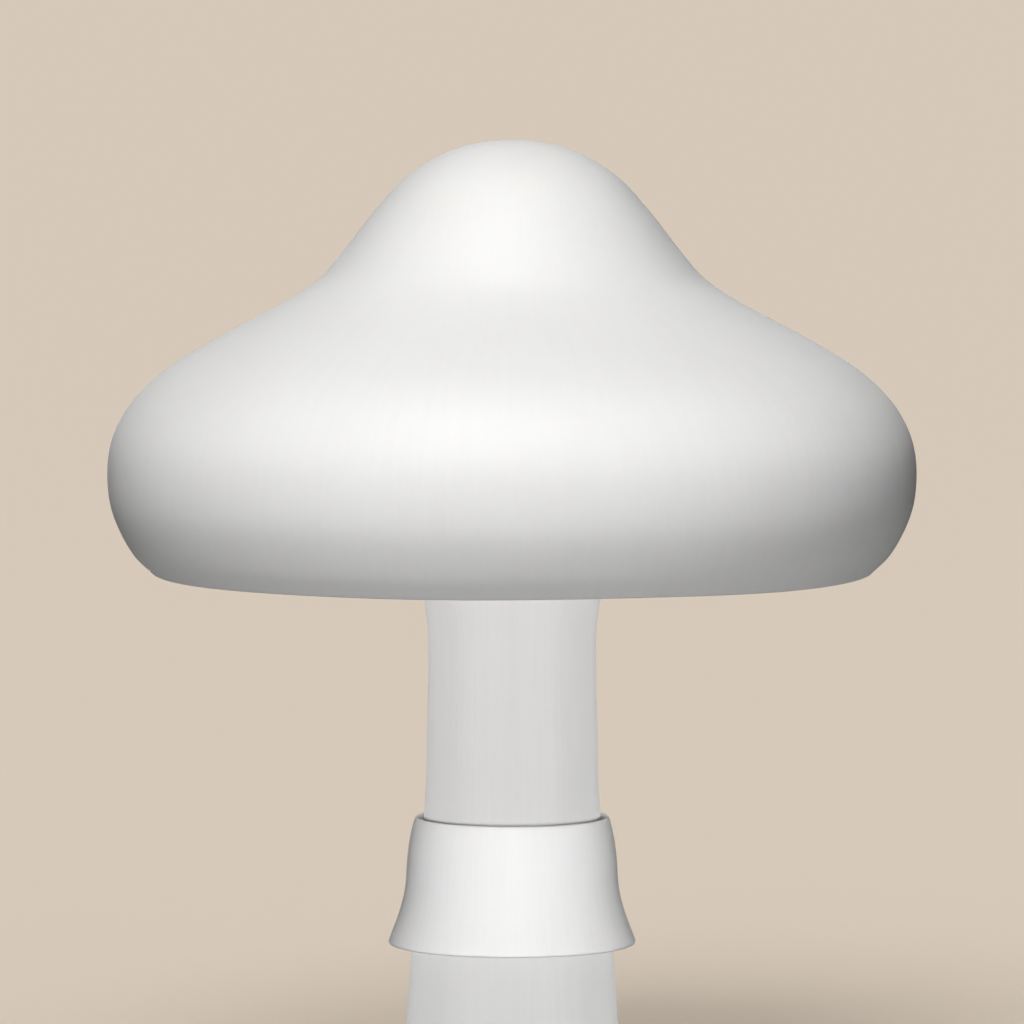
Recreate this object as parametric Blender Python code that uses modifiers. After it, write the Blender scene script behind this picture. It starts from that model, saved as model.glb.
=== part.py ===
"""A button mushroom, picked and trimmed, standing on the cut end of its stem.

Four pieces share one upright axis: the humped cap with its turned-in margin, the gills under it,
the stem, and the ring that the torn veil left round the stem. Front is -Y, up is +Z, and the
origin is the middle of the cut foot. Outlines are (radius, height) stations in millimetres.
"""

import math

import bpy
import bmesh
import numpy as np
from mathutils import Matrix

MM = 0.001

# Sizes that drive the rest, in millimetres
RIM_HEIGHT = 39.6  # of the cap's lowest edge above the foot
GAP = 0.3  # between pieces that touch in the real mushroom
TURNS = 48  # flat sides round each turned piece
CAP_SPACING = 2.2  # between outline points on the cap
FINE_SPACING = 1.8  # between outline points on the slimmer pieces
WELD = 0.001  # points closer than this are one

# The cap, with heights above its rim
CAP_OUTSIDE = [
    (0.0, 32.35),  # crown
    (4.25, 31.65),
    (7.6, 29.7),
    (10.25, 26.95),  # steep side of the hump
    (12.6, 23.9),
    (14.3, 22.0),  # hollow between hump and shoulder
    (16.7, 20.4),
    (22.9, 17.05),
    (26.15, 14.9),
    (28.6, 12.3),
    (29.9, 9.3),  # the widest part lies just below this
    (29.8, 5.15),
    (28.25, 1.75),
    (27.1, 0.5),
    (26.5, 0.0),  # rim
]
CAP_MARGIN = [(26.5, 0.0), (25.8, 0.3), (25.45, 1.2), (25.25, 2.6)]
FLESH_UNDERSIDE = [
    (25.25, 2.6),
    (24.4, 4.4),
    (21.5, 7.5),
    (17.5, 9.6),
    (13.0, 10.75),
    (8.5, 11.2),
]

# The gills, with heights above the cap's rim
SHEET = 0.7  # thickness of the sheet that the gills hang from
BLADE = 0.6  # thickness of one gill
GILL_GROUPS = 32
FULL_GILL = [
    (8.9, 8.5),  # the inner end is free of the stem
    (9.7, 5.3),
    (12.0, 2.8),
    (15.5, 1.6),
    (20.0, 1.2),
    (23.2, 1.6),
    (24.5, 2.8),
]
HALF_GILL = [(12.5, 8.3), (13.6, 4.7), (16.2, 2.2), (20.0, 1.4), (23.2, 1.7), (24.5, 2.9)]
QUARTER_GILL = [(19.4, 6.4), (20.6, 3.5), (22.6, 2.1), (24.4, 2.9)]

# Each kind's free edge, the radius where it starts, and its places in a group
GILL_KINDS = [
    (FULL_GILL, 8.8, (0.0,)),
    (HALF_GILL, 12.4, (0.5,)),
    (QUARTER_GILL, 19.3, (0.25, 0.75)),
]

# The stem, with heights above the foot
STEM_OUTSIDE = [
    (7.5, 50.5),  # under the flesh of the cap
    (7.05, 45.5),
    (6.74, 41.0),
    (6.48, 37.3),
    (6.26, 35.3),
    (6.23, 33.1),  # neck
    (6.33, 28.6),
    (6.42, 24.1),
    (6.58, 21.6),
    (6.95, 16.8),
    (7.53, 11.2),
    (7.92, 5.85),
    (8.1, 2.8),
    (8.1, 0.7),
    (7.9, 0.0),  # edge of the cut foot
]

# The ring, with heights above the foot
RING_OUTSIDE = [
    (7.24, 21.25),  # upper lip
    (7.62, 19.8),
    (7.82, 18.1),
    (7.92, 16.6),
    (8.09, 15.5),  # the skirt begins to flare
    (8.5, 14.05),
    (9.15, 12.25),
    (9.17, 11.95),
    (8.95, 11.85),  # hem
]
RING_INSIDE = [
    (8.95, 11.85),
    (8.6, 12.15),
    (7.98, 13.6),
    (7.55, 14.9),
    (7.35, 16.2),
    (7.2, 17.8),
    (7.05, 19.6),
    (6.9, 21.25),
]

# Colour and roughness
CAP_SKIN = ((0.86, 0.85, 0.83, 1.0), 0.5)
GILL_FLESH = ((0.66, 0.5, 0.43, 1.0), 0.7)
STEM_FLESH = ((0.8, 0.78, 0.75, 1.0), 0.65)
RING_VEIL = ((0.86, 0.85, 0.83, 1.0), 0.6)


def clear_scene():
    """Removes whatever the scene starts with."""
    for item in list(bpy.data.objects):
        bpy.data.objects.remove(item)


def new_collection(name):
    """A collection linked to the scene."""
    collection = bpy.data.collections.new(name)
    bpy.context.scene.collection.children.link(collection)
    return collection


def principled(name, look):
    """A plain material of one colour and roughness."""
    colour, roughness = look
    material = bpy.data.materials.new(name)
    material.use_nodes = True
    shader = material.node_tree.nodes["Principled BSDF"]
    shader.inputs["Base Color"].default_value = colour
    shader.inputs["Roughness"].default_value = roughness
    shader.inputs["Metallic"].default_value = 0.0
    return material


def curve_through(stations, spacing, steer_in=None, steer_out=None):
    """Points about one spacing apart on a smooth curve through the stations.

    The curve is a centripetal Catmull-Rom spline. Its ends turn towards the two steering points,
    or run on straight where none is given.
    """
    points = [np.array(station, float) for station in stations]
    first = 2 * points[0] - points[1] if steer_in is None else np.array(steer_in, float)
    last = 2 * points[-1] - points[-2] if steer_out is None else np.array(steer_out, float)
    points = [first, *points, last]
    made = []
    for before, start, end, after in zip(points, points[1:], points[2:], points[3:]):
        steps = max(1, round(math.dist(start, end) / spacing))
        chords = [math.dist(before, start), math.dist(start, end), math.dist(end, after)]
        knots = np.concatenate([[0.0], np.cumsum(np.sqrt(chords))])
        for at in np.linspace(knots[1], knots[2], steps, endpoint=False):
            made.append(spline_point((before, start, end, after), knots, at))
    made.append(points[-2])
    return made


def spline_point(corners, knots, at):
    """The spline's point at one knot value, by repeated mixing of its four corners."""
    for reach in (1, 2):
        corners = [
            mix(corners[i], corners[i + 1], knots[i], knots[i + reach], at)
            for i in range(len(corners) - 1)
        ]
    return mix(corners[0], corners[1], knots[1], knots[2], at)


def mix(first, second, low, high, at):
    """The point between two others that stands for a value between low and high."""
    return (first * (high - at) + second * (at - low)) / (high - low)


def offset(points, distance):
    """The polyline moved sideways, to the left of the way it runs."""
    points = np.array(points)
    along = np.gradient(points, axis=0)
    along /= np.linalg.norm(along, axis=1, keepdims=True)
    return list(points + distance * np.stack([-along[:, 1], along[:, 0]], axis=1))


def above_rim(points):
    """Stations counted from the cap's rim, counted from the foot instead."""
    return [(radius, height + RIM_HEIGHT) for radius, height in points]


def flesh_underside():
    """The underside of the cap's flesh, from the margin inwards."""
    return curve_through(FLESH_UNDERSIDE, CAP_SPACING)


def turned(name, outline, material, collection, closed=False):
    """An outline turned about the upright axis, with its outer side listed top to bottom."""
    corners = [(radius * MM, 0.0, height * MM) for radius, height in outline]
    edges = [(i, i + 1) for i in range(len(corners) - 1)]
    if closed:
        edges.append((len(corners) - 1, 0))
    mesh = bpy.data.meshes.new(name)
    mesh.from_pydata(corners, edges, [])
    mesh.materials.append(material)
    piece = bpy.data.objects.new(name, mesh)
    collection.objects.link(piece)
    turn = piece.modifiers.new("turn", "SCREW")
    turn.axis = "Z"
    turn.steps = TURNS
    turn.render_steps = TURNS
    turn.use_smooth_shade = True
    turn.use_merge_vertices = True
    turn.merge_threshold = WELD * MM
    return piece


def build_cap(collection):
    """The cap is one solid: its skin, its turned-in margin and the hollow that holds the gills."""
    skin = curve_through(
        CAP_OUTSIDE,
        CAP_SPACING,
        steer_in=(-CAP_OUTSIDE[1][0], CAP_OUTSIDE[1][1]),
        steer_out=CAP_MARGIN[1],
    )
    margin = curve_through(
        CAP_MARGIN,
        FINE_SPACING,
        steer_in=CAP_OUTSIDE[-2],
        steer_out=FLESH_UNDERSIDE[1],
    )
    middle = (0.0, FLESH_UNDERSIDE[-1][1])
    outline = [*skin, *margin[1:], *flesh_underside()[1:], middle]
    turned("cap", above_rim(outline), principled("cap_skin", CAP_SKIN), collection)


def build_stem(collection):
    """The stem stands on its cut foot and reaches up between the gills to the flesh of the cap."""
    side = curve_through(STEM_OUTSIDE, FINE_SPACING * 2)
    top = (0.0, STEM_OUTSIDE[0][1])
    foot = (0.0, STEM_OUTSIDE[-1][1])
    outline = [top, *side, foot]
    turned("stem", outline, principled("stem_flesh", STEM_FLESH), collection)


def build_ring(collection):
    """The ring is a thin collar close round the stem, with a skirt that flares out to its hem."""
    outside = curve_through(RING_OUTSIDE, FINE_SPACING, steer_out=RING_INSIDE[1])
    inside = curve_through(RING_INSIDE, FINE_SPACING, steer_in=RING_OUTSIDE[-2])
    outline = [*outside, *inside[1:]]
    turned("ring", outline, principled("ring_veil", RING_VEIL), collection, closed=True)


def blade_outline(edge, start, hanging):
    """The outline of one gill: its free edge, then back inside the sheet it hangs from."""
    radii, heights = np.array(hanging)[::-1].T
    root = (start, np.interp(start, radii, heights))
    free = curve_through(
        [root, *edge, hanging[0]],
        FINE_SPACING * 2,
        steer_in=(start, root[1] + BLADE),
        steer_out=hanging[1],
    )
    return [*free, *[point for point in hanging[1:] if point[0] > start + BLADE]]


def flat_blade(name, outline):
    """A flat mesh of one blade's thickness, standing up along +X."""
    curve = bpy.data.curves.new(name, "CURVE")
    curve.dimensions = "2D"
    curve.fill_mode = "BOTH"
    curve.extrude = BLADE / 2 * MM
    spline = curve.splines.new("POLY")
    spline.points.add(len(outline) - 1)
    for point, (radius, height) in zip(spline.points, above_rim(outline)):
        point.co = (radius * MM, height * MM, 0.0, 1.0)
    spline.use_cyclic_u = True
    drawn = bpy.data.objects.new(name, curve)
    bpy.context.scene.collection.objects.link(drawn)
    graph = bpy.context.evaluated_depsgraph_get()
    mesh = bpy.data.meshes.new_from_object(drawn.evaluated_get(graph))
    bpy.data.objects.remove(drawn)
    mesh.transform(Matrix.Rotation(math.pi / 2, 4, "X"))
    shape = bmesh.new()
    shape.from_mesh(mesh)
    bmesh.ops.remove_doubles(shape, verts=shape.verts, dist=WELD * MM)
    bmesh.ops.recalc_face_normals(shape, faces=shape.faces)
    shape.to_mesh(mesh)
    shape.free()
    return mesh


def build_gills(collection):
    """The gills: long, half and quarter blades all round, joined to the sheet they hang from."""
    material = principled("gill_flesh", GILL_FLESH)
    flesh = flesh_underside()[1:]
    upper = offset(flesh, GAP)
    hanging = offset(flesh, GAP + SHEET / 2)
    lower = offset(flesh, GAP + SHEET)
    outline = above_rim([*upper[::-1], *lower])
    gills = turned("gills", outline, material, collection, closed=True)

    blades = new_collection("gill_blades")
    for edge, start, places in GILL_KINDS:
        mesh = flat_blade("blade", blade_outline(edge, start, hanging))
        mesh.materials.append(material)
        for group in range(GILL_GROUPS):
            for place in places:
                blade = bpy.data.objects.new("blade", mesh)
                turn = math.tau * (group + place) / GILL_GROUPS
                blade.matrix_world = Matrix.Rotation(turn, 4, "Z")
                blades.objects.link(blade)

    join = gills.modifiers.new("join", "BOOLEAN")
    join.operation = "UNION"
    join.operand_type = "COLLECTION"
    join.collection = blades
    graph = bpy.context.evaluated_depsgraph_get()
    joined = bpy.data.meshes.new_from_object(gills.evaluated_get(graph))
    gills.modifiers.clear()
    gills.data = joined
    for blade in list(blades.objects):
        bpy.data.objects.remove(blade)
    bpy.data.collections.remove(blades)


def main():
    clear_scene()
    mushroom = new_collection("button_mushroom")
    build_cap(mushroom)
    build_gills(mushroom)
    build_stem(mushroom)
    build_ring(mushroom)


main()
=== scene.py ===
"""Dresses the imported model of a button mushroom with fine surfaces, natural finishes and soft light.

The cap, the gills, the stem and the ring are each worked out again as a smooth surface round the
upright axis, in place of the plain solid of the same name. Outlines are (radius, height) stations
in metres, front is -Y, and the foot stands on the floor at height zero.
"""

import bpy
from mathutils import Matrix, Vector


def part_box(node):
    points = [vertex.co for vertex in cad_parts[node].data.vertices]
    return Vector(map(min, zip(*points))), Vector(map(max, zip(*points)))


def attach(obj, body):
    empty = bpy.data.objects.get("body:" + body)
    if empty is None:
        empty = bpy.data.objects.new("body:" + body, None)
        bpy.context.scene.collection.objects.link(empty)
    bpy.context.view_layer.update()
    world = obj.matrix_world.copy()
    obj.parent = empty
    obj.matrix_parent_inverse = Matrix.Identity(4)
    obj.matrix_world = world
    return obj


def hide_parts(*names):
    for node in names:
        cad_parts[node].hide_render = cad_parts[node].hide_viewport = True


bl_info = {
    "name": "Button mushroom",
    "version": (1, 0, 0),
    "blender": (4, 5, 0),
    "location": "View3D > Sidebar > Mushroom",
    "description": "Fine surfaces, finishes and studio light for a button mushroom",
    "category": "Add Mesh",
}

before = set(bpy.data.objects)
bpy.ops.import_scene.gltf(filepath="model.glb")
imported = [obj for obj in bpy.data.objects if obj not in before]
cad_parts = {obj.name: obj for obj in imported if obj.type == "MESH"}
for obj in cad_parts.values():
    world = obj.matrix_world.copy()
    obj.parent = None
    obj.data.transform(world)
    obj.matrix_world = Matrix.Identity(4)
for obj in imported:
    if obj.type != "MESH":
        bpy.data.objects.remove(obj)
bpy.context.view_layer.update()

import math

import bpy
import numpy as np
from bpy.props import FloatProperty, FloatVectorProperty, IntProperty, PointerProperty
from mathutils import Vector

MM = 0.001
FULL_TURN = math.tau
BODY = "root"

# Heights read from the frame
RIM_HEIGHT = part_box("cap")[0].z
FOOT_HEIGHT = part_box("stem")[0].z

# The cap, in millimetres above its rim
CAP_OUTSIDE = [
    (0.0, 32.25),
    (4.25, 31.55),
    (7.66, 29.63),
    (10.25, 26.88),
    (12.6, 23.84),
    (14.3, 21.93),
    (16.7, 20.3),
    (22.9, 16.95),
    (26.15, 14.82),
    (28.6, 12.25),
    (29.87, 9.28),
    (29.79, 5.15),
    (28.25, 1.75),
    (27.08, 0.52),
    (26.5, 0.08),
]
CAP_MARGIN = [(26.5, 0.08), (25.9, 0.27), (25.45, 1.2), (25.25, 2.6)]
FLESH_UNDERSIDE = [
    (25.25, 2.6),
    (24.4, 4.4),
    (21.5, 7.5),
    (17.5, 9.6),
    (13.0, 10.75),
    (8.5, 11.2),
]

# The free edges of long, half and quarter gills, in millimetres above the cap's rim
FULL_GILL = [
    (8.9, 8.5),
    (9.7, 5.3),
    (12.0, 2.8),
    (15.5, 1.6),
    (20.0, 1.2),
    (23.2, 1.6),
    (24.5, 2.8),
]
HALF_GILL = [(12.5, 8.3), (13.6, 4.7), (16.2, 2.2), (20.0, 1.4), (23.2, 1.7), (24.5, 2.9)]
QUARTER_GILL = [(19.4, 6.4), (20.6, 3.5), (22.6, 2.1), (24.4, 2.9)]

# Each kind's free edge, the radius where it starts, its places in a group, its cuts along
GILL_KINDS = [
    (FULL_GILL, 8.8, (0.0,), 14),
    (HALF_GILL, 12.4, (0.5,), 11),
    (QUARTER_GILL, 19.3, (0.25, 0.75), 8),
]
GILL_LEVELS = np.array([0.0, 0.45, 0.85, 1.0])  # from the root of a gill to its free edge
BED_GAP = 0.3  # between the flesh and the sheet that the gills hang from
BED_THICKNESS = 0.7

# How gills differ and bend, in millimetres, and in radians to a millimetre outwards or to a turn
START_SPREAD = 0.45  # of the inner ends of short gills, along their length
EDGE_LIFT = 0.12  # of the middle of a free edge, up or down
SLOW_WAVE = 1.1
QUICK_WAVE = 2.7
QUICK_TURN = 9
WAVE_DRIFT = 3.0  # how far the slow wave's phase swings on the way round
PHASE_SPREAD = 0.5
END_TRIM = 0.04  # of a gill's length, where it is thinned towards its two ends
END_ROUNDING = 0.35

# The stem and the ring, in millimetres above the foot
STEM_TOP = [(8.3, 50.75), (7.6, 49.6), (7.28, 47.6)]
STEM_OUTSIDE = [
    (7.05, 45.5),
    (6.74, 41.0),
    (6.48, 37.3),
    (6.26, 35.3),
    (6.23, 33.1),
    (6.33, 28.6),
    (6.42, 24.1),
    (6.58, 21.6),
    (6.95, 16.8),
    (7.53, 11.2),
    (7.92, 5.85),
    (8.1, 2.8),
    (8.12, 1.2),
    (8.02, 0.35),
    (7.85, 0.0),
]
RING_OUTSIDE = [
    (7.13, 21.45),
    (7.22, 21.36),
    (7.6, 19.9),
    (7.82, 18.2),
    (7.92, 16.6),
    (8.09, 15.5),
    (8.5, 14.05),
    (9.15, 12.3),
    (9.21, 12.06),
    (9.14, 11.98),
]
RING_INSIDE = [
    (9.14, 11.98),
    (8.88, 12.2),
    (8.18, 13.8),
    (7.74, 15.1),
    (7.52, 16.3),
    (7.36, 17.9),
    (7.18, 19.7),
    (7.0, 21.33),
    (7.06, 21.45),
]

# Points along each stretch of an outline
SKIN_POINTS = 230
MARGIN_POINTS = 14
FLESH_POINTS = 26
FLESH_MIDDLE_POINTS = 6
HANGING_POINTS = 60
STEM_POINTS = 220
STEM_TOP_POINTS = 5
FOOT_POINTS = 30
RING_OUTSIDE_POINTS = 60
RING_INSIDE_POINTS = 50
FINE_STEPS = 60  # to a station of a curve, before its points are spread evenly
EDGE_STEPS = 10  # to a cut along a gill, in the same way

# Waves round the axis: how many there are to a turn, and the run over which their phases drift
CAP_LOBES = (2, 3, 5, 7)
STEM_LOBES = (2, 3, 5)
RIB_LOBES = (17, 26, 31, 43, 58)
HEM_LOBES = (3, 5, 8, 13, 21, 34)
SLOW_DRIFT = 0.02
RIB_DRIFT = 0.008
CROWN_STILL = 0.001  # radius that stays round, and the one from which the cap is fully uneven
CROWN_UNEVEN = 0.012
BEND = 1.5  # height of the stem's slow waves, as a share of its ribs'
HEM_SHARE = 0.4  # of the ring's height that the torn hem reaches up

# Rows of the stem's grid, counted from its foot's edge
SMOOTH_ROWS = 12  # without ribs
RIB_FADE_ROWS = 9
CUT_FADE_ROWS = 4

# The camera, found from the round edges of cap and ring in the photograph
CAMERA_DISTANCE = 0.54335  # in front of the mushroom's axis
CAMERA_HEIGHT = 0.08103  # above the foot
CAMERA_PITCH = math.radians(3.879)  # below the horizon
CAMERA_FIELD = math.radians(8.0)
CAMERA_REACH = 100.0  # past which nothing is drawn
SENSOR = 36.0  # width in millimetres


def smooth_step(value, low, high):
    """0 below low, 1 above high and a cubic ease between them."""
    share = np.clip((value - low) / (high - low), 0.0, 1.0)
    return share * share * (3.0 - 2.0 * share)


def mix(first, second, low, high, at):
    """The points between two sets of points that stand for values between low and high."""
    share = ((at - low) / (high - low))[:, None]
    return first * (1.0 - share) + second * share


def spline(stations, count, steer_in=None, steer_out=None):
    """Points evenly spaced along a smooth curve through the stations.

    The curve is a centripetal Catmull-Rom spline: each stretch between two stations is a mix of
    mixes of four of them, with the square root of each chord as its share of the parameter. Its
    ends turn towards the two steering points, or run on straight where none is given.
    """
    stations = np.array(stations, float)
    first = 2 * stations[0] - stations[1] if steer_in is None else steer_in
    last = 2 * stations[-1] - stations[-2] if steer_out is None else steer_out
    points = np.vstack([first, stations, last])
    chords = np.linalg.norm(np.diff(points, axis=0), axis=1)
    knots = np.concatenate([[0.0], np.cumsum(np.sqrt(chords))])
    at = np.linspace(knots[1], knots[-2], FINE_STEPS * len(stations))
    stretch = np.clip(np.searchsorted(knots, at, side="right") - 1, 1, len(stations) - 1)
    corners = [points[stretch + step] for step in (-1, 0, 1, 2)]
    marks = [knots[stretch + step] for step in (-1, 0, 1, 2)]
    for reach in (1, 2):
        corners = [
            mix(corners[i], corners[i + 1], marks[i], marks[i + reach], at)
            for i in range(len(corners) - 1)
        ]
    return evenly(mix(corners[0], corners[1], marks[1], marks[2], at), count)


def run_of(points):
    """The distance along a polyline to each of its points."""
    return np.concatenate([[0.0], np.cumsum(np.linalg.norm(np.diff(points, axis=0), axis=1))])


def evenly(points, count):
    """The polyline with its points moved to even distances along it."""
    run = run_of(points)
    even = np.linspace(0.0, run[-1], count)
    return np.stack([np.interp(even, run, points[:, 0]), np.interp(even, run, points[:, 1])], 1)


def joined(*curves):
    """Curves that meet end to end as one, with each shared point kept once."""
    return np.vstack([curves[0], *[curve[1:] for curve in curves[1:]]])


def normals_of(profile, closed=False):
    """Unit vectors out of a profile that runs down its outer side."""
    if closed:
        ahead = np.roll(profile, -1, axis=0) - np.roll(profile, 1, axis=0)
    else:
        ahead = np.gradient(profile, axis=0)
    ahead /= np.linalg.norm(ahead, axis=1, keepdims=True)
    return np.stack([-ahead[:, 1], ahead[:, 0]], axis=1)


def above_rim(stations):
    """Millimetre stations counted from the cap's rim as metres above the foot."""
    return np.array(stations, float) * MM + (0.0, RIM_HEIGHT)


def above_foot(stations):
    """Millimetre stations counted from the foot as metres."""
    return np.array(stations, float) * MM + (0.0, FOOT_HEIGHT)


def turned(profile, columns, relief=0.0, closed=False):
    """A grid of points: the profile turned about the upright axis.

    Point (row, column) is the profile's point moved along its outward normal by the relief there,
    then carried round by column / columns of a full turn.
    """
    turn = np.arange(columns) * FULL_TURN / columns
    normals = normals_of(profile, closed)
    radius = profile[:, :1] + relief * normals[:, :1]
    height = profile[:, 1:] + relief * normals[:, 1:]
    radius, height = np.broadcast_arrays(radius + 0 * turn, height + 0 * turn)
    return np.stack([radius * np.cos(turn), radius * np.sin(turn), height], axis=-1)


def ripples(turn, along, lobes, seed):
    """Waves from -1 to 1 round the axis: cosines with each number of lobes and a seeded phase.

    Each cosine's phase drifts with the distance along the profile, so that no wave runs straight.
    """
    draw = np.random.default_rng(seed)
    total = np.zeros((len(along), len(turn)))
    for lobe in lobes:
        phase, drift, share = draw.uniform((0.0, -1.0, 0.5), (FULL_TURN, 1.0, 1.0))
        total += share * np.cos(lobe * turn + phase + drift * along[:, None])
    return total / len(lobes)


def grid_faces(rows, columns, closed=False, poles=(False, False)):
    """Quads, and triangles at the poles, of a grid whose last column meets its first.

    A closed grid's last row meets its first too. A pole is a row whose points are all one.
    """
    index = np.arange(rows * columns).reshape(rows, columns)
    for row, pole in zip((0, -1), poles):
        if pole:
            index[row] = index[row, 0]
    upper = index if closed else index[:-1]
    lower = np.roll(index, -1, axis=0) if closed else index[1:]
    quads = np.stack([upper, lower, np.roll(lower, -1, 1), np.roll(upper, -1, 1)], axis=-1)
    quads = quads.reshape(-1, 4)
    at_first = quads[:, 0] == quads[:, 3]
    at_last = quads[:, 1] == quads[:, 2]
    triangles = np.vstack([quads[at_first][:, :3], quads[at_last][:, [0, 1, 3]]])
    return quads[~(at_first | at_last)], triangles


def add_piece(name, node, material, points, faces, values=()):
    """Makes a mesh object of the points and faces that stands for a node of the frame.

    values holds (name, numbers) pairs, each with one number to a point, for the material to read.
    """
    quads, triangles = faces
    used = np.unique(np.concatenate([quads.ravel(), triangles.ravel()]))
    place = np.zeros(len(points), int)
    place[used] = np.arange(len(used))
    mesh = bpy.data.meshes.new(name)
    corners = [*place[quads].tolist(), *place[triangles].tolist()]
    mesh.from_pydata(points[used].tolist(), [], corners)
    for label, numbers in values:
        layer = mesh.attributes.new(label, "FLOAT", "POINT")
        layer.data.foreach_set("value", np.asarray(numbers, np.float32).ravel()[used])
    mesh.shade_smooth()
    mesh.materials.append(material)
    mesh.validate()
    piece = bpy.data.objects.new(name, mesh)
    bpy.context.scene.collection.objects.link(piece)
    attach(piece, BODY)
    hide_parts(node)
    return piece


class Graph:
    """Short ways to add and join the nodes of one material."""

    def __init__(self, name):
        self.material = bpy.data.materials.new(name)
        self.material.use_nodes = True
        self.tree = self.material.node_tree
        self.shader = self.tree.nodes["Principled BSDF"]

    def add(self, kind, inputs=None, **settings):
        """A node with its settings, and with each input linked to a socket or set to a value."""
        node = self.tree.nodes.new(kind)
        for name, value in settings.items():
            setattr(node, name, value)
        for name, value in (inputs or {}).items():
            self.give(node.inputs[name], value)
        return node

    def give(self, socket, value):
        """Links a socket, or sets it where the value is plain."""
        if isinstance(value, bpy.types.NodeSocket):
            self.tree.links.new(value, socket)
        else:
            socket.default_value = value

    def math(self, operation, first, second=0.0):
        """The result of a math node."""
        return self.add("ShaderNodeMath", {0: first, 1: second}, operation=operation).outputs[0]

    def vector(self, operation, first, second=None, scale=None):
        """The result of a vector math node."""
        inputs = {0: first}
        if second is not None:
            inputs[1] = second
        if scale is not None:
            inputs["Scale"] = scale
        node = self.add("ShaderNodeVectorMath", inputs, operation=operation)
        return node.outputs["Value" if operation == "LENGTH" else "Vector"]

    def value(self, name):
        """A number that the mesh holds at each point."""
        return self.add("ShaderNodeAttribute", attribute_name=name).outputs["Fac"]

    def place(self):
        """The point's place on the object."""
        return self.add("ShaderNodeTexCoord").outputs["Object"]

    def noise(self, place, scale, detail=3.0, roughness=0.55):
        """Soft noise from 0 to 1, with so many cells to a metre."""
        inputs = {"Vector": place, "Scale": scale, "Detail": detail, "Roughness": roughness}
        return self.add("ShaderNodeTexNoise", inputs).outputs["Fac"]

    def range(self, value, low, high, new_low=0.0, new_high=1.0):
        """The value's range from low to high stretched to a new one."""
        inputs = {"Value": value, 1: low, 2: high, 3: new_low, 4: new_high}
        return self.add("ShaderNodeMapRange", inputs).outputs[0]

    def blend(self, share, first, second):
        """The mix of two colours."""
        inputs = {"Factor": share, "A": first, "B": second}
        node = self.tree.nodes.new("ShaderNodeMix")
        node.data_type = "RGBA"
        for socket in node.inputs:
            if socket.name in inputs and socket.enabled:
                self.give(socket, inputs[socket.name])
        return [socket for socket in node.outputs if socket.enabled][0]

    def fibres(self, run, around, along):
        """Noise drawn out along the profile: so many cells to a radian round the axis, and so many
        to a metre of the run along it."""
        flat = self.vector("MULTIPLY", self.place(), (1.0, 1.0, 0.0))
        ring = self.vector("SCALE", self.vector("NORMALIZE", flat), scale=around)
        lift = self.math("MULTIPLY", run, along)
        line = self.add("ShaderNodeCombineXYZ", {"Z": lift}).outputs[0]
        place = self.vector("ADD", ring, line)
        return self.noise(place, scale=1.0, detail=4.0, roughness=0.6)

    def bump(self, layers):
        """Bumps laid one on the other, each as (height, distance in metres), into the shader."""
        normal = None
        for height, distance in layers:
            inputs = {"Height": height, "Distance": distance}
            if normal is not None:
                inputs["Normal"] = normal
            normal = self.add("ShaderNodeBump", inputs).outputs[0]
        self.give(self.shader.inputs["Normal"], normal)

    def finish(self, **inputs):
        """Sets or links the shader's inputs, with _ in a name for each space."""
        for name, value in inputs.items():
            self.give(self.shader.inputs[name.replace("_", " ")], value)
        return self.material


def opaque(colour):
    """A colour property as red, green, blue and full alpha."""
    return (*colour, 1.0)


def colour_property(name, description, default):
    """A colour that a user can change."""
    return FloatVectorProperty(
        name=name,
        description=description,
        default=default,
        size=3,
        min=0.0,
        max=1.0,
        subtype="COLOR",
    )


def length_property(name, description, default):
    """A length that a user can change."""
    return FloatProperty(
        name=name, description=description, default=default, min=0.0, unit="LENGTH", precision=6
    )


class CapSettings(bpy.types.PropertyGroup):
    columns: IntProperty(name="Columns", description="Points round the cap", default=288, min=24)
    unevenness: length_property("Unevenness", "How far the skin strays from round", 0.00009)
    skin: colour_property("Skin", "The smooth white of the skin", (0.87, 0.868, 0.862))
    shade: colour_property("Shade", "The cream that clouds the skin", (0.835, 0.825, 0.805))


class GillSettings(bpy.types.PropertyGroup):
    groups: IntProperty(name="Groups", description="Groups of four gills", default=72, min=12)
    root: length_property("Root", "Thickness of a gill where it hangs from the cap", 0.00032)
    edge: length_property("Edge", "Thickness of a gill at its free edge", 0.00014)
    sway: length_property("Sway", "How far a gill's free edge strays sideways", 0.00016)
    pale: colour_property("Edge colour", "The free edges", (0.72, 0.58, 0.51))
    # Painted shade: the dark colour that the gills take towards their roots, between the gills
    painted_root_shade: colour_property("Painted root shade", "Deep between the gills", (0.47, 0.30, 0.25))


class StemSettings(bpy.types.PropertyGroup):
    columns: IntProperty(name="Columns", description="Points round the stem", default=256, min=24)
    ribs: length_property("Ribs", "Height of the faint lengthwise ribs", 0.00003)
    flesh: colour_property("Flesh", "The stem's surface", (0.71, 0.707, 0.70))
    streak: colour_property("Streaks", "The lengthwise streaks", (0.696, 0.692, 0.684))
    cut: colour_property("Cut foot", "The cut face of the foot", (0.70, 0.64, 0.53))


class RingSettings(bpy.types.PropertyGroup):
    columns: IntProperty(name="Columns", description="Points round the ring", default=288, min=24)
    hem: length_property("Hem", "How far the torn hem rises and falls", 0.00003)
    veil: colour_property("Veil", "The ring's skin", (0.87, 0.868, 0.862))
    shade: colour_property("Shade", "The faint lines along it", (0.84, 0.832, 0.818))


class StageSettings(bpy.types.PropertyGroup):
    floor: colour_property("Floor", "The pale floor and the backdrop", (0.82, 0.71, 0.59))
    fade: length_property("Fade", "Where the floor begins to turn into the backdrop", 0.35)


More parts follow.
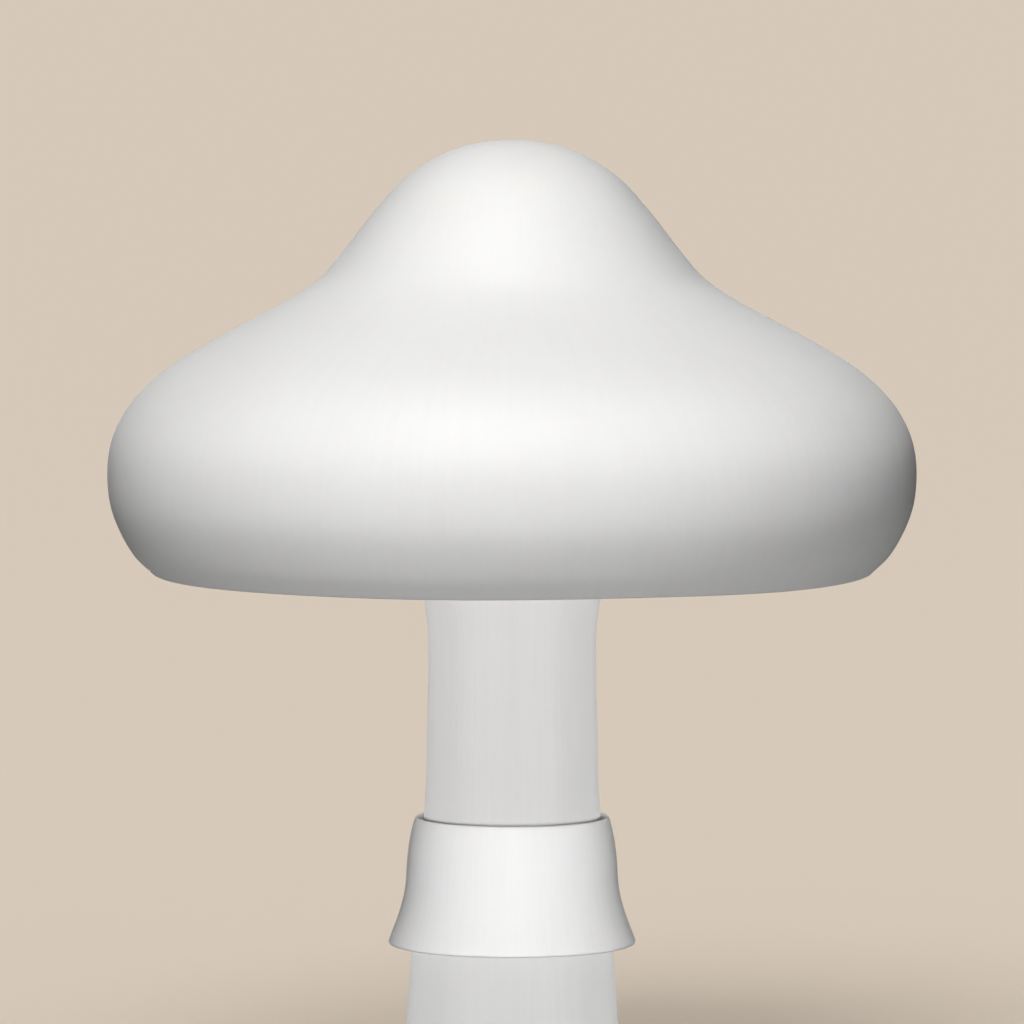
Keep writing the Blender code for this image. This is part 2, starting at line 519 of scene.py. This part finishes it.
def skin_material(settings):
    """Smooth white skin: faint cream clouds, silky fibres from crown to margin, tiny pores."""
    graph = Graph("cap_skin")
    run = graph.value("run")
    clouds = graph.noise(graph.place(), scale=70.0)
    silk = graph.fibres(run, around=58.0, along=110.0)
    pores = graph.noise(graph.place(), scale=2600.0, detail=2.0)
    patches = graph.range(clouds, 0.4, 0.7, new_high=0.55)
    tint = graph.math("ADD", patches, graph.range(silk, 0.4, 0.7, new_high=0.3))
    colour = graph.blend(tint, opaque(settings.skin), opaque(settings.shade))
    graph.bump([(pores, 0.000005), (silk, 0.000009)])
    return graph.finish(
        Base_Color=colour,
        Roughness=graph.range(silk, 0.35, 0.65, 0.5, 0.62),
        Specular_IOR_Level=0.3,
        Subsurface_Weight=0.12,
        Subsurface_Radius=(1.0, 0.8, 0.6),
        Subsurface_Scale=0.0012,
    )


def gill_material(settings):
    """Thin flesh with painted shade from its free edge to its root, and fine grain across it."""
    graph = Graph("gill_flesh")
    depth = graph.value("depth")
    grain = graph.noise(graph.place(), scale=900.0)
    share = graph.math("ADD", depth, graph.range(grain, 0.35, 0.65, -0.12, 0.12))
    # The colour runs from the pale free edge to the painted root shade as the depth grows
    colour = graph.blend(share, opaque(settings.pale), opaque(settings.painted_root_shade))
    graph.bump([(grain, 0.00001)])
    return graph.finish(
        Base_Color=colour,
        Roughness=0.7,
        Specular_IOR_Level=0.25,
        Subsurface_Weight=0.1,
        Subsurface_Radius=(1.0, 0.6, 0.45),
        Subsurface_Scale=0.0006,
    )


def stem_material(settings):
    """Fibrous flesh: lengthwise streaks and ribs, and a darker cut face with its own coarse grain."""
    graph = Graph("stem_flesh")
    run = graph.value("run")
    cut = graph.value("cut")
    strands = graph.fibres(run, around=26.0, along=60.0)
    fine = graph.fibres(run, around=90.0, along=160.0)
    grain = graph.noise(graph.place(), scale=1500.0)
    streaks = graph.blend(
        graph.range(strands, 0.42, 0.68), opaque(settings.flesh), opaque(settings.streak)
    )
    face = graph.blend(graph.range(grain, 0.35, 0.7), opaque(settings.cut), opaque(settings.flesh))
    graph.bump([(grain, 0.000006), (fine, 0.000008), (strands, 0.00001)])
    return graph.finish(
        Base_Color=graph.blend(cut, streaks, face),
        Roughness=graph.range(fine, 0.35, 0.65, 0.6, 0.75),
        Specular_IOR_Level=0.25,
        Subsurface_Weight=0.12,
        Subsurface_Radius=(1.0, 0.8, 0.6),
        Subsurface_Scale=0.0012,
    )


def veil_material(settings):
    """The thin veil: fine lines that run down it, and a soft cottony grain."""
    graph = Graph("ring_veil")
    run = graph.value("run")
    lines = graph.fibres(run, around=52.0, along=150.0)
    cotton = graph.noise(graph.place(), scale=2000.0)
    colour = graph.blend(
        graph.range(lines, 0.42, 0.7, new_high=0.6), opaque(settings.veil), opaque(settings.shade)
    )
    graph.bump([(cotton, 0.000006), (lines, 0.00001)])
    return graph.finish(
        Base_Color=colour,
        Roughness=graph.range(lines, 0.35, 0.65, 0.55, 0.68),
        Specular_IOR_Level=0.28,
        Subsurface_Weight=0.15,
        Subsurface_Radius=(1.0, 0.8, 0.6),
        Subsurface_Scale=0.0008,
    )


def cap_profile():
    """The cap's outline from the crown down its skin, round the rim and in along the flesh."""
    skin = spline(
        CAP_OUTSIDE,
        SKIN_POINTS,
        steer_in=(-CAP_OUTSIDE[1][0], CAP_OUTSIDE[1][1]),
        steer_out=CAP_MARGIN[1],
    )
    margin = spline(CAP_MARGIN, MARGIN_POINTS, CAP_OUTSIDE[-2], FLESH_UNDERSIDE[1])
    flesh = spline(FLESH_UNDERSIDE, FLESH_POINTS)
    middle = np.linspace(flesh[-1], (0.0, flesh[-1][1]), FLESH_MIDDLE_POINTS)
    return above_rim(joined(skin, margin, flesh, middle))


class MUSHROOM_OT_cap(bpy.types.Operator):
    """Make the cap's smooth skin, its turned-in margin and the flesh under it"""

    bl_idname = "mushroom.cap"
    bl_label = "Cap"
    bl_options = {"REGISTER", "UNDO"}

    def execute(self, context):
        settings = context.scene.mushroom_cap
        profile = cap_profile()
        run = run_of(profile)
        turn = np.arange(settings.columns) * FULL_TURN / settings.columns
        slow = ripples(turn, run / SLOW_DRIFT, CAP_LOBES, seed=4)
        away_from_crown = smooth_step(profile[:, :1], CROWN_STILL, CROWN_UNEVEN)
        relief = settings.unevenness * slow * away_from_crown
        points = turned(profile, settings.columns, relief)
        faces = grid_faces(*points.shape[:2], poles=(True, True))
        values = [("run", np.repeat(run, settings.columns))]
        material = skin_material(settings)
        add_piece("cap_skin", "cap", material, points.reshape(-1, 3), faces, values)
        return {"FINISHED"}


def hanging_line(depth):
    """The line at a depth in millimetres under the cap's flesh, from the margin inwards."""
    flesh = spline(FLESH_UNDERSIDE, HANGING_POINTS)
    flesh = flesh[flesh[:, 0] < FLESH_UNDERSIDE[1][0]]
    return flesh + depth * normals_of(flesh)


def gill_outlines(edge, start, count):
    """Two lines of a gill with as many points, both outwards: its root and its free edge."""
    hanging = hanging_line(BED_GAP + BED_THICKNESS / 2)[::-1]
    begin = (start, np.interp(start, hanging[:, 0], hanging[:, 1]))
    root = np.vstack([begin, hanging[hanging[:, 0] > start]])
    above = (start, begin[1] + BED_THICKNESS)
    free = spline([begin, *edge, hanging[-1]], EDGE_STEPS * count, above, hanging[-4])
    # More cuts where the free edge turns, at both ends
    share = 0.5 - 0.5 * np.cos(np.linspace(0.0, math.pi, count))
    share = 0.5 * (share + np.linspace(0.0, 1.0, count))
    lines = []
    for line in (root, free):
        run = run_of(line)
        at = share * run[-1]
        lines.append(np.stack([np.interp(at, run, line[:, 0]), np.interp(at, run, line[:, 1])], 1))
    return lines


def gill_blades(settings, kind, places, draw):
    """All gills of one kind, as points of shape (gill, along, round, 3) and their depths.

    A gill lies in an upright plane through the axis. Its points run from the root line to the free
    edge on one side and back on the other. Its half thickness shrinks from root to edge and at both
    ends. Its free edge sways sideways by a slow sine, whose phase drifts from gill to gill, and by
    half as much in a quick one.
    """
    edge, start, _, count = kind
    root, free = gill_outlines(edge, start, count)
    level = np.concatenate([GILL_LEVELS, GILL_LEVELS[-2::-1]])
    side = np.concatenate([np.ones(len(GILL_LEVELS) - 1), [0.0], -np.ones(len(GILL_LEVELS) - 1)])
    flat = root[:, None] * (1.0 - level[:, None]) + free[:, None] * level[:, None]
    turn = places * FULL_TURN / settings.groups
    number = len(turn)
    shorter = draw.uniform(-START_SPREAD, START_SPREAD, number)[:, None, None]
    along = np.linspace(0.0, 1.0, count)[None, :, None]
    radius = flat[None, :, :, 0] + shorter * (1.0 - along) ** 2 * (start > FULL_GILL[0][0])
    lift = draw.uniform(-EDGE_LIFT, EDGE_LIFT, number)[:, None, None]
    height = flat[None, :, :, 1] + lift * level * np.sin(math.pi * along)
    thick = 0.5 * (settings.root * (1.0 - level) + settings.edge * level) / MM
    ends = np.sin(math.pi * np.clip(along, END_TRIM, 1.0 - END_TRIM)) ** END_ROUNDING
    phase = WAVE_DRIFT * np.sin(2.0 * turn) + draw.uniform(-PHASE_SPREAD, PHASE_SPREAD, number)
    wave = np.sin(radius * SLOW_WAVE + phase[:, None, None])
    wave = wave + 0.5 * np.sin(radius * QUICK_WAVE + turn[:, None, None] * QUICK_TURN)
    sway = settings.sway / MM * wave * level**1.5 * np.sin(math.pi * along) ** 0.5
    across = side * thick * ends + sway
    cosine, sine = np.cos(turn)[:, None, None], np.sin(turn)[:, None, None]
    x = radius * cosine - across * sine
    y = radius * sine + across * cosine
    points = np.stack([x * MM, y * MM, height * MM + RIM_HEIGHT], axis=-1)
    # How far each point lies from the free edge towards the root, which sets the painted shade
    depth = np.broadcast_to(1.0 - level, points.shape[:3])
    return points, depth


def blade_faces(number, count, around):
    """Triangles along the sides of each blade, and quads and triangles that close its two ends.

    The two sides are split along the same diagonals, so that they don't cross where a blade bends.
    """
    index = np.arange(number * count * around).reshape(number, count, around)
    onward = np.roll(index, -1, axis=2)
    corners = [index[:, :-1], index[:, 1:], onward[:, 1:], onward[:, :-1]]
    half = around // 2
    splits = (
        (slice(0, half), ((0, 1, 2), (0, 2, 3))),
        (slice(half, around), ((0, 1, 3), (1, 2, 3))),
    )
    triangles = [
        np.stack([corners[corner][..., part] for corner in three], axis=-1).reshape(-1, 3)
        for part, threes in splits
        for three in threes
    ]
    steps = np.arange(half - 1)
    caps = []
    for row, flip in ((index[:, 0], False), (index[:, -1], True)):
        far = around - 1 - steps
        quads = np.stack([row[:, steps], row[:, steps + 1], row[:, far - 1], row[:, far]], -1)
        tip = np.stack([row[:, half - 1], row[:, half], row[:, half + 1]], -1)
        caps.append((quads[..., ::-1] if flip else quads).reshape(-1, 4))
        triangles.append(tip[:, ::-1] if flip else tip)
    return np.vstack(caps), np.vstack(triangles)


class MUSHROOM_OT_gills(bpy.types.Operator):
    """Make the thin gills under the cap and the sheet that they hang from"""

    bl_idname = "mushroom.gills"
    bl_label = "Gills"
    bl_options = {"REGISTER", "UNDO"}

    def execute(self, context):
        settings = context.scene.mushroom_gills
        material = gill_material(settings)
        draw = np.random.default_rng(11)
        points, depths, quads, triangles = [], [], [], []
        total = 0
        for kind in GILL_KINDS:
            places = np.add.outer(np.arange(settings.groups), np.array(kind[2])).ravel()
            blades, depth = gill_blades(settings, kind, places, draw)
            some_quads, some_triangles = blade_faces(*blades.shape[:3])
            points.append(blades.reshape(-1, 3))
            depths.append(depth.ravel())
            quads.append(some_quads + total)
            triangles.append(some_triangles + total)
            total += len(points[-1])
        faces = (np.vstack(quads), np.vstack(triangles))
        values = [("depth", np.concatenate(depths))]
        add_piece("gill_blades", "gills", material, np.vstack(points), faces, values)

        upper = hanging_line(BED_GAP)
        lower = hanging_line(BED_GAP + BED_THICKNESS)
        outline = above_rim(np.vstack([upper[::-1], lower]))
        bed = turned(outline, settings.groups * 2, closed=True)
        faces = grid_faces(*bed.shape[:2], closed=True)
        # The sheet lies at the roots, all in the painted root shade
        values = [("depth", np.ones(bed.shape[:2]))]
        add_piece("gill_bed", "gills", material, bed.reshape(-1, 3), faces, values)
        return {"FINISHED"}


class MUSHROOM_OT_stem(bpy.types.Operator):
    """Make the fibrous stem and its cut foot"""

    bl_idname = "mushroom.stem"
    bl_label = "Stem"
    bl_options = {"REGISTER", "UNDO"}

    def execute(self, context):
        settings = context.scene.mushroom_stem
        side = spline(STEM_TOP + STEM_OUTSIDE, STEM_POINTS)
        top = np.linspace((0.0, side[0][1]), side[0], STEM_TOP_POINTS)
        foot = np.linspace(side[-1], (0.0, side[-1][1]), FOOT_POINTS)
        profile = above_foot(joined(top, side, foot))
        run = run_of(profile)
        turn = np.arange(settings.columns) * FULL_TURN / settings.columns
        foot_edge = len(top) + len(side)
        on_side = np.zeros(len(profile))
        on_side[len(top) : foot_edge - SMOOTH_ROWS] = 1.0
        fade = np.ones(RIB_FADE_ROWS) / RIB_FADE_ROWS
        on_side = np.convolve(on_side, fade, mode="same")[:, None]
        ribs = ripples(turn, run / RIB_DRIFT, RIB_LOBES, seed=8)
        bend = ripples(turn, run / SLOW_DRIFT, STEM_LOBES, seed=9)
        relief = settings.ribs * (ribs + BEND * bend) * on_side
        points = turned(profile, settings.columns, relief)
        cut = smooth_step(np.arange(len(profile)), foot_edge - CUT_FADE_ROWS, foot_edge)
        faces = grid_faces(*points.shape[:2], poles=(True, True))
        values = [
            ("run", np.repeat(run, settings.columns)),
            ("cut", np.repeat(cut, settings.columns)),
        ]
        material = stem_material(settings)
        add_piece("stem_flesh", "stem", material, points.reshape(-1, 3), faces, values)
        return {"FINISHED"}


class MUSHROOM_OT_ring(bpy.types.Operator):
    """Make the thin ring round the stem, with its flared and slightly torn hem"""

    bl_idname = "mushroom.ring"
    bl_label = "Ring"
    bl_options = {"REGISTER", "UNDO"}

    def execute(self, context):
        settings = context.scene.mushroom_ring
        outside = spline(RING_OUTSIDE, RING_OUTSIDE_POINTS, RING_INSIDE[-2], RING_INSIDE[1])
        inside = spline(RING_INSIDE, RING_INSIDE_POINTS, RING_OUTSIDE[-2], RING_OUTSIDE[0])
        profile = above_foot(joined(outside, inside[:-1]))
        run = run_of(profile)
        turn = np.arange(settings.columns) * FULL_TURN / settings.columns
        points = turned(profile, settings.columns, closed=True)
        low, high = profile[:, 1].min(), profile[:, 1].max()
        near_hem = 1.0 - smooth_step(profile[:, 1], low, low + HEM_SHARE * (high - low))
        torn = ripples(turn, np.zeros(1), HEM_LOBES, seed=21)
        points[..., 2] += settings.hem * torn * near_hem[:, None]
        faces = grid_faces(*points.shape[:2], closed=True)
        values = [("run", np.repeat(run, settings.columns))]
        material = veil_material(settings)
        add_piece("ring_veil", "ring", material, points.reshape(-1, 3), faces, values)
        return {"FINISHED"}


# The pieces that each set of suns lights, where it doesn't light them all
LIT_PIECES = {
    "cap": ("cap_skin", "gill_blades", "gill_bed"),
    "gill": ("gill_blades", "gill_bed"),
    "stem": ("stem_flesh",),
    "ring": ("ring_veil",),
    "floor": ("floor",),
}
# Each sun: its set and name, degrees to the right of the front, degrees up, width in degrees and
# watts per square metre
SUNS = [
    ("cap", "key", -17.0, 46.0, 12.0, 1.07),
    ("cap", "high", -10.0, 65.0, 30.0, 1.85),
    ("cap", "low", 0.0, -25.0, 30.0, 1.32),
    ("gill", "below", -20.0, -60.0, 60.0, 1.2),
    ("stem", "left", -45.0, -3.0, 25.0, 1.93),
    ("stem", "right", 45.0, -3.0, 25.0, 1.93),
    ("stem", "far_left", -90.0, -3.0, 25.0, 0.59),
    ("stem", "far_right", 90.0, -3.0, 25.0, 0.59),
    ("ring", "front", 0.0, 10.0, 30.0, 2.42),
    ("ring", "above", 0.0, 80.0, 60.0, 0.4),
    ("ring", "below", 0.0, -35.0, 40.0, 0.62),
    ("ring", "left", -75.0, 10.0, 40.0, 0.26),
    ("ring", "right", 75.0, 10.0, 40.0, 0.26),
    ("floor", "key", -17.0, 46.0, 40.0, 1.0),
    ("floor", "above", 0.0, 90.0, 140.0, 1.7),
    ("all", "back", 180.0, -6.0, 20.0, 1.73),
    ("all", "left", -100.0, -5.0, 30.0, 0.06),
    ("all", "right", 100.0, -5.0, 30.0, 0.06),
]
UNSHADED = ("stem", "ring")  # sets whose light the cap and the gills don't hold back
NO_GLINT = ("back",)  # suns that would glint along the outline from behind
SKY_LIGHT = 0.05
FLOOR_LIGHT = 0.82  # brightness of a white floor under the suns and the sky
BACKDROP_RADIUS = 3.5
FLOOR_RADIUS = 3.4
FADE_WIDTH = 0.6  # over which the floor turns into the backdrop
STAGE_COLUMNS = 96
BACKDROP_ROWS = 49
FLOOR_MIDDLE = 0.1  # radius of the floor's inner ring of faces
FLOOR_DROP = 0.00003  # keeps the floor clear of the foot's cut face


def group_of(name, pieces, state="INCLUDE"):
    """A collection that says whether a lamp takes the pieces in or leaves them out."""
    group = bpy.data.collections.new(name)
    for piece in pieces:
        group.objects.link(bpy.data.objects[piece])
    for entry in group.collection_objects:
        entry.light_linking.link_state = state
    return group


def add_sun(lit, name, azimuth, elevation, width, strength):
    """A soft sun from a direction given by two angles, for all pieces or for one set of them."""
    azimuth, elevation = math.radians(azimuth), math.radians(elevation)
    towards = Vector(
        (
            math.sin(azimuth) * math.cos(elevation),
            -math.cos(azimuth) * math.cos(elevation),
            math.sin(elevation),
        )
    )
    data = bpy.data.lights.new(f"{lit}_{name}", "SUN")
    data.angle = math.radians(width)
    data.energy = strength
    sun = bpy.data.objects.new(f"{lit}_{name}", data)
    sun.location = towards
    sun.rotation_euler = towards.to_track_quat("Z", "Y").to_euler()
    sun.visible_glossy = name not in NO_GLINT
    bpy.context.scene.collection.objects.link(sun)
    if lit in LIT_PIECES:
        sun.light_linking.receiver_collection = group_of(f"lit_by_{sun.name}", LIT_PIECES[lit])
    if lit in UNSHADED:
        clear = group_of(f"clear_of_{sun.name}", ("cap_skin", *LIT_PIECES["gill"]), "EXCLUDE")
        sun.light_linking.blocker_collection = clear


def seen_only(stage):
    """Marks a part of the stage that shows in the picture and neither lights nor shades anything."""
    stage.visible_diffuse = False
    stage.visible_glossy = False
    stage.visible_shadow = False


def stage_piece(name, profile, poles, material):
    """A turned surface that belongs to the stage."""
    points = turned(np.array(profile, float), STAGE_COLUMNS).reshape(-1, 3)
    quads, triangles = grid_faces(len(profile), STAGE_COLUMNS, poles=poles)
    mesh = bpy.data.meshes.new(name)
    mesh.from_pydata(points.tolist(), [], [*quads.tolist(), *triangles.tolist()])
    mesh.shade_smooth()
    mesh.materials.append(material)
    piece = bpy.data.objects.new(name, mesh)
    bpy.context.scene.collection.objects.link(piece)
    seen_only(piece)


def backdrop_glow(graph, settings):
    """A glow as bright as the lit floor."""
    inputs = {"Color": opaque(settings.floor), "Strength": FLOOR_LIGHT}
    return graph.add("ShaderNodeEmission", inputs).outputs[0]


def floor_material(settings):
    """Pale and dull, and turns into the backdrop far out. From below it lets the view through."""
    graph = Graph("floor")
    dull = graph.add("ShaderNodeBsdfDiffuse", {"Color": opaque(settings.floor)}).outputs[0]
    far = graph.vector("LENGTH", graph.place())
    share = graph.range(far, settings.fade, settings.fade + FADE_WIDTH)
    glow = backdrop_glow(graph, settings)
    above = graph.add("ShaderNodeMixShader", {0: share, 1: dull, 2: glow}).outputs[0]
    clear = graph.add("ShaderNodeBsdfTransparent").outputs[0]
    below = graph.add("ShaderNodeNewGeometry").outputs["Backfacing"]
    either = graph.add("ShaderNodeMixShader", {0: below, 1: above, 2: clear}).outputs[0]
    graph.give(graph.tree.nodes["Material Output"].inputs["Surface"], either)
    return graph.material


def backdrop_material(settings):
    """An even glow all round."""
    graph = Graph("backdrop")
    glow = backdrop_glow(graph, settings)
    graph.give(graph.tree.nodes["Material Output"].inputs["Surface"], glow)
    return graph.material


class MUSHROOM_OT_stage(bpy.types.Operator):
    """Make the pale floor, the backdrop, the soft studio light and the camera"""

    bl_idname = "mushroom.stage"
    bl_label = "Stage"
    bl_options = {"REGISTER", "UNDO"}

    def execute(self, context):
        settings = context.scene.mushroom_stage
        height = FOOT_HEIGHT - FLOOR_DROP
        floor = [(radius, height) for radius in (0.0, FLOOR_MIDDLE, FLOOR_RADIUS)]
        stage_piece("floor", floor, (True, False), floor_material(settings))
        # From the bottom up, so that its faces point inwards
        rise = np.linspace(-math.pi / 2, math.pi / 2, BACKDROP_ROWS)
        sphere = BACKDROP_RADIUS * np.stack([np.cos(rise), np.sin(rise)], axis=1)
        stage_piece("backdrop", sphere, (True, True), backdrop_material(settings))
        for sun in SUNS:
            add_sun(*sun)
        world = bpy.data.worlds.new("studio")
        world.use_nodes = True
        sky = world.node_tree.nodes["Background"]
        sky.inputs["Color"].default_value = (1.0, 1.0, 1.0, 1.0)
        sky.inputs["Strength"].default_value = SKY_LIGHT
        context.scene.world = world
        context.scene.view_settings.view_transform = "Standard"
        self.add_camera(context)
        return {"FINISHED"}

    def add_camera(self, context):
        """The photograph's view, a little above the cap's rim and looking slightly down."""
        data = bpy.data.cameras.new("camera")
        data.sensor_width = SENSOR
        data.lens = SENSOR / 2 / math.tan(CAMERA_FIELD / 2)
        data.clip_end = CAMERA_REACH
        camera = bpy.data.objects.new("camera", data)
        camera.location = (0.0, -CAMERA_DISTANCE, CAMERA_HEIGHT)
        camera.rotation_euler = (math.pi / 2 - CAMERA_PITCH, 0.0, 0.0)
        context.scene.collection.objects.link(camera)
        context.scene.camera = camera


class MUSHROOM_PT_panel(bpy.types.Panel):
    """Lists the pieces of the mushroom and the stage"""

    bl_idname = "MUSHROOM_PT_panel"
    bl_label = "Button mushroom"
    bl_space_type = "VIEW_3D"
    bl_region_type = "UI"
    bl_category = "Mushroom"

    def draw(self, context):
        for name, settings in SETTINGS.items():
            box = self.layout.box()
            box.operator(f"mushroom.{name}")
            for key in settings.__annotations__:
                box.prop(getattr(context.scene, f"mushroom_{name}"), key)


SETTINGS = {
    "cap": CapSettings,
    "gills": GillSettings,
    "stem": StemSettings,
    "ring": RingSettings,
    "stage": StageSettings,
}
OPERATORS = [
    MUSHROOM_OT_cap,
    MUSHROOM_OT_gills,
    MUSHROOM_OT_stem,
    MUSHROOM_OT_ring,
    MUSHROOM_OT_stage,
]


def register():
    for entry in (*SETTINGS.values(), *OPERATORS, MUSHROOM_PT_panel):
        bpy.utils.register_class(entry)
    for name, settings in SETTINGS.items():
        setattr(bpy.types.Scene, f"mushroom_{name}", PointerProperty(type=settings))


def unregister():
    for name in SETTINGS:
        delattr(bpy.types.Scene, f"mushroom_{name}")
    for entry in (MUSHROOM_PT_panel, *OPERATORS, *SETTINGS.values()):
        bpy.utils.unregister_class(entry)


def main():
    register()
    bpy.ops.mushroom.cap()
    bpy.ops.mushroom.gills()
    bpy.ops.mushroom.stem()
    bpy.ops.mushroom.ring()
    bpy.ops.mushroom.stage()


if __name__ == "__main__":
    main()
